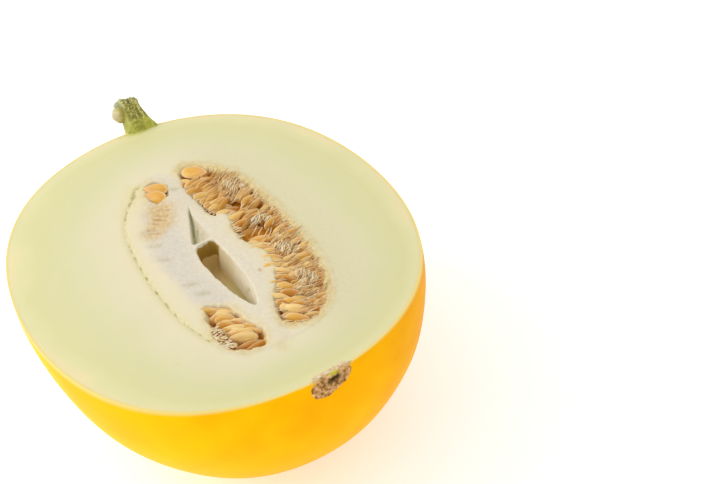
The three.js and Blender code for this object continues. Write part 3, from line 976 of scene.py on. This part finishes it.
# %% [markdown]
# ## The seeds
#
# A melon seed is a flat drop about 10 mm long, with a blunt end, a pointed end that was tied to the pulp, and a
# thin margin around it. One seed is modelled, and each seed of the frame gets a copy, laid where the CAD
# seed lies and turned by a few degrees of its own.

# %% One seed
SEED_LENGTH, SEED_WIDTH, SEED_THICKNESS = 11.0, 4.4, 1.35
SEED_SEGMENTS, SEED_RINGS = 28, 18


def make_seed_pattern():
    """Points of one seed in its own axes: X through it, Y from the point to the blunt end, Z across it."""
    seed, polar, around = add_ball(SEED_SEGMENTS, SEED_RINGS)
    # the sphere's poles lie on the flat sides, and its equator becomes the margin
    reach = (1 - np.abs(1 - 2 * polar / np.pi)) ** 0.75
    y = reach * np.cos(around)
    z = reach * np.sin(around)
    taper = 1 + 0.22 * y - 0.22 * np.maximum(-y, 0) ** 2
    plump = 0.30 + 0.70 * smooth_step(0.93, 0.45, reach)
    thick = np.sign(np.cos(polar)) * plump * np.sqrt(np.maximum(1 - reach**6, 0))
    points = np.column_stack([thick * SEED_THICKNESS / 2, y * SEED_LENGTH / 2, z * taper * SEED_WIDTH / 2])
    push_points(seed, points)
    # margin: where the painted highlight of the wet rim goes
    store(seed, "margin", smooth_step(0.78, 0.93, reach))
    store(seed, "tip", smooth_step(0.3, -0.9, y))
    store(seed, "across", z * SEED_WIDTH / 2)
    return seed, points


seed_pattern, seed_points = make_seed_pattern()
print("seed pattern:", len(seed_pattern.data.polygons), "faces")


# %% Where each CAD seed lies
def seed_place(node):
    """The middle of a CAD seed and its axes: through it, along it towards its far end, and across it."""
    points = points_of(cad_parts[node])
    _, axes = np.linalg.eigh(np.cov((points - points.mean(0)).T))
    _, across, along = axes.T
    across = across * np.sign(across[2])
    side = -1 if points[:, 1].mean() < 0 else 1
    along = along * side * np.sign(along[1])
    middle = (points.min(0) + points.max(0)) / 2
    return middle, np.column_stack([np.cross(along, across), along, across])


def turn_of(*turns):
    """One turn after the other: each is an angle in degrees and its axis."""
    turn = np.eye(3)
    for degrees, axis in turns:
        turn = turn @ np.array(Matrix.Rotation(math.radians(degrees), 3, axis))
    return turn


def upright_axes(lean, roll, pitch):
    """Axes of a seed on its edge: lean turns it in the face, roll tips it over, and pitch lifts its far end."""
    return turn_of((lean, "Z"), (pitch, "X"), (roll, "Y"))


def laid(middle, axes, size, bend):
    """The seed pattern's points at a place, a little bent; its point shows outwards, away from the cleft."""
    points = seed_points * size * (1, -1, 1)
    points[:, 0] += bend * (points[:, 1] / SEED_LENGTH) ** 2
    return points @ axes.T + middle


def copies_at(pattern, placed):
    """One object that holds copies of a pattern, one after the other, each with its own points."""
    select_only(pattern)
    bpy.ops.object.duplicate()
    crowd = bpy.context.object
    if len(placed) > 1:
        add_modifier(crowd, "ARRAY", count=len(placed), use_relative_offset=False, use_constant_offset=True)
    push_points(crowd, np.concatenate(placed))
    return crowd


def finish_seeds(piece, name, tones, replaced=()):
    store(piece, "tone", np.repeat(tones, len(seed_points)))
    face_outwards(piece)
    return hand_over(piece, name, SEED_FINISH, replaced)


# %% The seeds of the frame
chance = random.Random(31)
seed_nodes = sorted(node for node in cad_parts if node.startswith("seed_") and node[5:].isdigit())
PALE_SEEDS, LONG_BED_SEEDS, SHORT_BED_SEEDS = 5, 41, 50  # the last number of each group
# the last seed of each row, and how far its seeds turn about the axes through, along and across them
ROW_TURNS = [
    (23, [(-16, -2), (-16, 12), (-12, 6)]),
    (LONG_BED_SEEDS, [(-6, 14), (-20, 14), (-10, 10)]),
    (SHORT_BED_SEEDS, [(-12, 8), (-14, 14), (-12, 12)]),
]
RAISED = 0.5
SHIFTED_SEEDS = {51: np.array([0.8, 2.0, 0.7]), 52: np.array([-1.0, -2.0, 0.6]), 53: np.array([0, 0, 0.2])}
# seeds set lower by these millimetres; they are also painted darker, as painted shade
SUNKEN_SEEDS = {6: 3.2, 7: 3.4, 10: 3.0, 11: 3.4, 44: 1.8, 45: 1.2, 49: 2.4, 50: 2.2}

for node in seed_nodes:
    middle, axes = seed_place(node)
    number = int(node[5:])
    ranges = next((ranges for last, ranges in ROW_TURNS if number <= last), [])
    axes = axes @ turn_of(*[(chance.uniform(*degrees), axis) for degrees, axis in zip(ranges, "XYZ")])
    size, tone = chance.uniform(0.94, 1.08), chance.random()
    middle = middle + [chance.uniform(-0.5, 0.5), chance.uniform(-0.9, 0.9), RAISED + chance.uniform(-0.5, 0.4)]
    if number > SHORT_BED_SEEDS:
        size, tone = np.array([1, 1.12, 1.36]), 0.35 + 0.2 * tone
    elif number > LONG_BED_SEEDS:
        size = size * np.array([0.74, 1.06, 1])
    elif number <= PALE_SEEDS:
        tone = 0.5 + 0.5 * tone
    middle = middle + SHIFTED_SEEDS.get(number, 0)
    if number in SUNKEN_SEEDS:
        middle[2] -= SUNKEN_SEEDS[number]
        # painted shade: a sunken seed is painted darker
        tone *= 0.3
    seed = copies_at(seed_pattern, [laid(middle, axes, size, chance.uniform(-1.2, 1.2))])
    finish_seeds(seed, "coat_of_" + node, [tone], [node])
print("seeds of the frame:", len(seed_nodes))


# %% [markdown]
# The CAD model holds the seeds that can be told apart. Around them lie more, half sunk in the pulp and seen
# by their edges, so crowds of copies are strewn along a few lines. An Array modifier makes
# the copies of a crowd, and each copy is then pushed to its own place.

# %% More seeds between and behind them
# round hollows with only amber pulp in them: X, Y and radius on the face; they slant as they go down
AMBER_HOLLOWS = [
    (-14.6, 21.8, 5.6), (-6.8, 26.2, 3.0), (8.5, 21.3, 7.2), (45.5, -14.5, 2.8), (51.5, -10.5, 2.8),
    (68.6, -11.5, 5),
]
HOLLOW_SLANT = np.array([-1.25, 0.49])


def in_amber_hollow(x, y, height):
    at_x, at_y = np.array([x, y]) + HOLLOW_SLANT * height
    return any(math.hypot(at_x - mid_x, at_y - mid_y) < radius for mid_x, mid_y, radius in AMBER_HOLLOWS)


def along_line(line, share):
    """The point at a share of a line's length."""
    steps = np.r_[0, np.cumsum(np.hypot(*np.diff(line, axis=0).T))]
    return np.array([np.interp(share * steps[-1], steps, line[:, k]) for k in (0, 1)])


def strewn(corners, count, margin, spread):
    """Places along a line, each with its share of the line's length, X and Y."""
    line = smooth_line(corners)
    for number in range(count):
        share = (number + chance.uniform(margin, 1 - margin)) / count
        yield share, *(along_line(line, share) + [0, chance.uniform(-spread, spread)])


def make_crowd(name, corners, count, lean, roll, pitch, sink, size, spread, thin=1.0):
    placed, tones = [], []
    for share, x, y in strewn(corners, count, 0.1, spread):
        if in_amber_hollow(x, y, -sink):
            continue
        axes = upright_axes(
            lean[0] + (lean[1] - lean[0]) * share + chance.uniform(-9, 9),
            chance.uniform(*roll), chance.uniform(*pitch),
        )
        middle = np.array([x, y, -sink + chance.uniform(-0.6, 0.6)])
        scale = chance.uniform(*size) * np.array([thin, 1, 1])
        placed.append(laid(middle, axes, scale, chance.uniform(-1.5, 1.5)))
        tones.append(chance.random())
    return finish_seeds(copies_at(seed_pattern, placed), name, tones)


# for each crowd: the line, the number, the lean at both ends, the ranges of roll and pitch, how deep it is
# sunk, the range of sizes, how far it strays from the line, and how thin its seeds are
CROWDS = {
    "seeds_along_outer_edge": (
        [(-51, 20), (-41, 25.2), (-25, 28.2), (0, 29.4), (25, 29.8), (45, 27.6), (60, 23), (68, 15)],
        50, (34, -24), (-22, 4), (2, 22), 2.2, (0.66, 0.88), 1.6,
    ),
    "seeds_in_the_middle": (
        [(-48, 17), (-30, 22), (-5, 25), (20, 25), (42, 22.5), (60, 15)],
        34, (26, -34), (-34, -8), (-8, 10), 2.7, (0.85, 1.0), 1.6,
    ),
    "seeds_along_inner_edge": (
        [(-50, 13.5), (-36, 14), (-18, 17.6), (0, 18), (20, 17.8), (38, 16.8), (52, 11), (66, 8.6)],
        26, (10, -46), (-58, -30), (-26, -8), 2.5, (0.9, 1.05), 1.0,
    ),
    "thin_seeds_near_stem_end": (
        [(-47, 15.5), (-30, 18.5), (-16, 20.5), (0, 21), (16, 20.6)],
        34, (20, 34), (-12, 6), (-4, 14), 1.5, (0.66, 0.84), 1.2, 0.55,
    ),
    "seeds_by_lying_seed": (
        [(-50.5, 11.6), (-47.5, 12.2), (-44, 13)],
        3, (-38, -30), (-56, -40), (-6, 4), 1.6, (0.75, 0.85), 0.3,
    ),
    "thin_seeds_of_short_bed": (
        [(38.5, -16), (43, -12.4), (49, -11.4), (54, -11)],
        15, (-34, -44), (-26, -6), (-6, 8), 1.4, (0.6, 0.82), 1.4, 0.5,
    ),
    "seeds_along_short_bed_rim": (
        [(43, -11), (52, -8.8), (60, -7.4), (68, -6.6)],
        9, (-30, -42), (-40, -20), (-8, 8), 2.0, (0.75, 0.95), 0.8,
    ),
    "seeds_of_short_bed": (
        [(39, -14.5), (46, -13), (56, -12.4), (66, -10.5), (71, -9)],
        16, (-24, -44), (-40, -12), (-10, 12), 2.2, (0.75, 1.0), 2.0,
    ),
}
for name, measures in CROWDS.items():
    crowd = make_crowd(name, *measures)
    print(crowd.name, len(crowd.data.polygons), "faces")

# %% [markdown]
# ## Threads and films
#
# The seeds sit in a net of thin wet films and threads. Where the knife tore them, they stand up pale between
# the outer seeds. One thread is modelled as a long thin ball, copied as the seeds are, and each copy follows
# its own small arc; a film is a thread pressed flat.

# %% Threads between the outer seeds
thread_pattern, thread_polar, thread_around = add_ball(6, 10)
THREAD_ALONG = 1 - 2 * thread_polar / np.pi
THREAD_ROUND = np.sqrt(np.sin(thread_polar))


def thread(middle, axes, length, thick, tall, arc):
    """One thread or film: thick through it, tall across it, and arched by its arc."""
    wave = 1 + 0.25 * np.sin(7 * THREAD_ALONG + 5 * middle[0])
    points = np.column_stack([
        THREAD_ROUND * np.cos(thread_around) * thick / 2 + arc * THREAD_ALONG**2,
        THREAD_ALONG * length / 2,
        THREAD_ROUND * np.sin(thread_around) * wave * tall / 2,
    ])
    return points @ axes.T + middle


def make_threads(name, corners, count, lean, pitch, length, thick, tall, spread, height, stray, tone):
    crosses_hollows = name.startswith("films_over")
    placed, tones = [], []
    for share, x, y in strewn(corners, count, 0.2, spread):
        if not crosses_hollows and in_amber_hollow(x, y, -1):
            continue
        axes = upright_axes(
            lean[0] + (lean[1] - lean[0]) * share + chance.gauss(0, stray), chance.uniform(-2.5, 1.5) * stray,
            chance.uniform(*pitch),
        )
        middle = np.array([x, y, chance.uniform(*height)])
        sizes = [chance.uniform(*measure) for measure in (length, thick, tall)]
        placed.append(thread(middle, axes, *sizes, chance.uniform(-0.8, 0.8)))
        tones.append(chance.uniform(*tone))
    crowd = copies_at(thread_pattern, placed)
    store(crowd, "tone", np.repeat(tones, len(thread_polar)))
    return hand_over(crowd, name, THREAD_FINISH)


# for each net: the line, the number, the lean at both ends, the ranges of pitch, length, thickness and
# tallness, how far it strays from the line, the range of heights, how wild its turns are, and its tones
NETS = {
    "threads_of_outer_bed": (
        [(-44, 24.5), (-25, 28), (0, 29.6), (25, 29.4), (45, 26.4), (60, 20.5), (66, 14)],
        260, (34, -14), (0, 34), (3, 7), (0.18, 0.4), (0.25, 0.6), 4.6, (-1.4, 0.6), 11, (0.1, 0.8),
    ),
    "films_of_outer_bed": (
        [(-42, 20), (-25, 24.6), (0, 25.6), (20, 25.4), (42, 24), (60, 17)],
        80, (30, -20), (0, 24), (5.5, 8.5), (0.14, 0.24), (1.4, 2.6), 3.0, (-2.2, -0.9), 11, (0.1, 0.8),
    ),
    "fuzz_of_outer_shore": (
        [(-52, 23.5), (-36, 30.6), (-8, 33.8), (22, 33.8), (46, 31), (61, 25.4), (71, 16), (68, 8)],
        150, (40, -30), (-12, 12), (1.6, 3.4), (0.2, 0.4), (0.25, 0.5), 1.5, (-0.7, 0.05), 11, (0.5, 0.85),
    ),
    "fringe_of_inner_edge": (
        [
            (-46, 11), (-34, 10.6), (-19, 12.4), (-14, 17), (0, 15), (16, 17.4), (26, 19), (38, 16), (52, 8.4),
            (66, 6.6),
        ],
        80, (30, -42), (-8, 4), (3, 6), (0.3, 0.6), (0.3, 0.7), 1.0, (-1.4, -0.5), 11, (0.5, 0.8),
    ),
    "films_over_first_hollow": (
        [(-16.5, 23), (-10.5, 25.5)],
        4, (40, 46), (4, 10), (4, 5.5), (0.3, 0.42), (0.6, 0.9), 0.2, (-1.1, -0.7), 2, (0.5, 0.7),
    ),
    "films_over_second_hollow": (
        [(3.6, 20.2), (7.5, 22.4), (14.5, 27.6)],
        5, (40, 46), (4, 10), (6, 7.5), (0.4, 0.55), (0.7, 1.0), 0.2, (-0.9, -0.4), 2, (0.55, 0.75),
    ),
    "threads_of_short_bed": (
        [(51, -18.6), (59, -19.4), (67, -17.6)],
        120, (-10, -50), (-10, 20), (1.2, 2.8), (0.35, 0.6), (0.35, 0.7), 2.0, (-0.8, 0.4), 14, (0.5, 0.95),
    ),
}
# in four places the torn threads stand thick and pale
for number, (x, y) in enumerate([(-31, 27), (1, 26.6), (24.5, 26), (47, 23.6)]):
    NETS[f"torn_threads_{number + 1}"] = (
        [(x - 5, y - 1.5), (x, y), (x + 5, y + 1)],
        46, (50, 30), (-5, 35), (2.4, 4.2), (0.32, 0.55), (0.4, 0.8), 2.8, (-0.8, 0.5), 16, (0.5, 0.95),
    )
for name, measures in NETS.items():
    net = make_threads(name, *measures)
    print(net.name, len(net.data.polygons), "faces")

bpy.data.objects.remove(seed_pattern)
bpy.data.objects.remove(thread_pattern)

# %% [markdown]
# ## The stem
#
# The stub of the stem is a dry, ridged stalk that flares where it grew out of the rind. A sphere gives its
# closed form: every ring of the sphere goes to a step of the stalk's profile, and the ridges and the torn
# end are pushed in. The round scar of a side shoot stands out of it.

# %% The stalk
STEM_FOOT = np.array([-102.5, 13, -2.4])
STEM_DIRECTION = np.array([-0.74, -0.05, 0.67]) / np.linalg.norm([-0.74, -0.05, 0.67])
STEM_PROFILE = np.array([
    (0, -3), (8.8, -2), (8.3, 0), (7.5, 2), (6.8, 4), (6.1, 7), (5.5, 9.5), (5.2, 12),
    (5.3, 14.6), (5.6, 16.2), (4.9, 17.2), (3.2, 16.9), (0, 16.4),
])
STEM_RIDGES = 5
STEM_LENGTH = 17
STEM_SIDE = np.cross(STEM_DIRECTION, [0, 1, 0])
STEM_SIDE /= np.linalg.norm(STEM_SIDE)
STEM_LEFT = np.cross(STEM_SIDE, STEM_DIRECTION)


def make_stem():
    stem, polar, around = add_ball(72, 90)
    step = np.cumsum(np.r_[0, np.hypot(*np.diff(STEM_PROFILE, axis=0).T)])
    place = polar / np.pi * step[-1]
    radius = np.interp(place, step, STEM_PROFILE[:, 0])
    height = np.interp(place, step, STEM_PROFILE[:, 1])
    bark = np.column_stack([np.cos(around), np.sin(around), height / 9])
    ridge = 0.5 + 0.5 * np.cos(STEM_RIDGES * around + 0.04 * height)
    fine = rough(bark * (9, 9, 1), 2.2, 11) + 0.6 * rough(bark * (20, 20, 1.5), 2.0, 12)
    on_side = smooth_step(-2.5, 1, height)
    radius = radius * (1 + (0.16 * (ridge - 0.6) + 0.05 * fine) * on_side)
    # the torn end slopes down towards the +Y side, and its fibres stand up unevenly
    height = height - 0.3 * smooth_step(9, STEM_LENGTH, height) * radius * np.sin(around) * STEM_LEFT[1]
    torn = smooth_step(14.5, STEM_LENGTH, height)
    fibres = 0.9 * rough(bark * (6, 6, 0), 1.5, 13) + 0.5 * rough(bark * (radius[:, None] * 2), 1.5, 14)
    height = height + torn * fibres
    points = (
        STEM_FOOT + height[:, None] * STEM_DIRECTION
        + (radius * np.cos(around))[:, None] * STEM_SIDE + (radius * np.sin(around))[:, None] * STEM_LEFT
    )
    # the knife went past the foot of the stalk, so what would stand in the melon's upper half is gone
    cut_away = ~outside_melon(points, skin=1.2)
    points[:, 2] = np.where(cut_away, np.minimum(points[:, 2], -0.6), points[:, 2])
    push_points(stem, points)
    store(stem, "along", np.clip(height / STEM_LENGTH, 0, 1))
    # groove: where the painted shade between the ridges goes
    store(stem, "groove", 1 - ridge)
    face_outwards(stem)
    return hand_over(stem, "stem_stub", STEM_FINISH, ["stem"])


stem = make_stem()
print("stem:", len(stem.data.polygons), "faces")


# %% The knob
KNOB_UP_STEM, KNOB_OUT_OF_STEM = 12.2, 5.4
KNOB_HALF = (3.1, 3.6, 3.9)


def make_knob():
    knob, polar, around = add_ball(32, 20)
    middle = STEM_FOOT + KNOB_UP_STEM * STEM_DIRECTION + [0, -KNOB_OUT_OF_STEM, 0]
    ball = np.column_stack([np.sin(polar) * np.cos(around), np.sin(polar) * np.sin(around), np.cos(polar)])
    points = ball * KNOB_HALF * (1 + 0.07 * rough(ball, 0.5, 15))[:, None]
    push_points(knob, points @ np.array([STEM_SIDE, STEM_LEFT, STEM_DIRECTION]) + middle)
    return hand_over(knob, "stem_side_scar", KNOB_FINISH)


knob = make_knob()
print("knob:", len(knob.data.polygons), "faces")

# %% [markdown]
# ## The blossom scar
#
# Where the blossom dropped off, the melon closed the wound with cork: dry brown grains around a small dark
# pit. It is made like the stem, from a sphere pressed against the rind, with its grains pushed out.

# %% The corky scar
# its outline, middle and pit in Y and Z, on the end of the melon
SCAR_OUTLINE = smooth_line([
    (-3.8, -3.6), (-1, -0.6), (4, 1.2), (10, 1.2), (13.4, -0.6), (12.2, -4.6), (6.4, -7.4), (1, -8.8),
    (-3.2, -7.2),
], closed=True)
SCAR_MIDDLE = np.array([5.0, -4.4])
PIT_Y, PIT_Z = 5.6, -2.3


def rind_x(y, z):
    """How far out the rind lies at the blossom end."""
    return edge_between(
        np.full(len(y), 60.0), np.full(len(y), 120.0), lambda x: outside_melon(np.column_stack([x, y, z])),
    )


def make_scar():
    scar, polar, around = add_ball(96, 48)
    rim = np.column_stack([np.cos(around), np.sin(around), 0 * around])
    reach = reach_of(SCAR_OUTLINE, SCAR_MIDDLE, around)
    reach *= 1 + 0.14 * rough(rim, 0.42, 31) + 0.07 * rough(rim, 0.16, 32)
    share = np.sin(polar)
    y = SCAR_MIDDLE[0] + share * reach * np.cos(around)
    z = np.minimum(SCAR_MIDDLE[1] + share * reach * np.sin(around), -0.02)
    flat = np.column_stack([y, z, 0 * y])
    front = np.cos(polar) > -0.01
    grains = 0.5 * rough(flat, 1.5, 21) + 0.35 * rough(flat, 0.7, 22)
    crust = (1.0 + grains) * smooth_step(1.0, 0.75, share + 0.12 * rough(flat, 1.8, 23))
    from_pit = ((y - PIT_Y) / 3.4) ** 2 + ((z - PIT_Z) / 1.5) ** 2 + 0.5 * rough(flat, 1.1, 33)
    pit = np.exp(-(from_pit.clip(0) ** 1.5))
    x = rind_x(y, z) + np.where(front, np.maximum(crust * (1 - pit), 0.06), -0.8)
    push_points(scar, np.column_stack([x, y, z]))
    store(scar, "pit", pit)
    store(scar, "moss", hump(y - PIT_Y - 0.4, 1.8) * hump(z + 0.2, 0.5))
    face_outwards(scar)
    return hand_over(scar, "corky_blossom_scar", CORK_FINISH, ["blossom_scar"])


scar = make_scar()
print("scar:", len(scar.data.polygons), "faces")
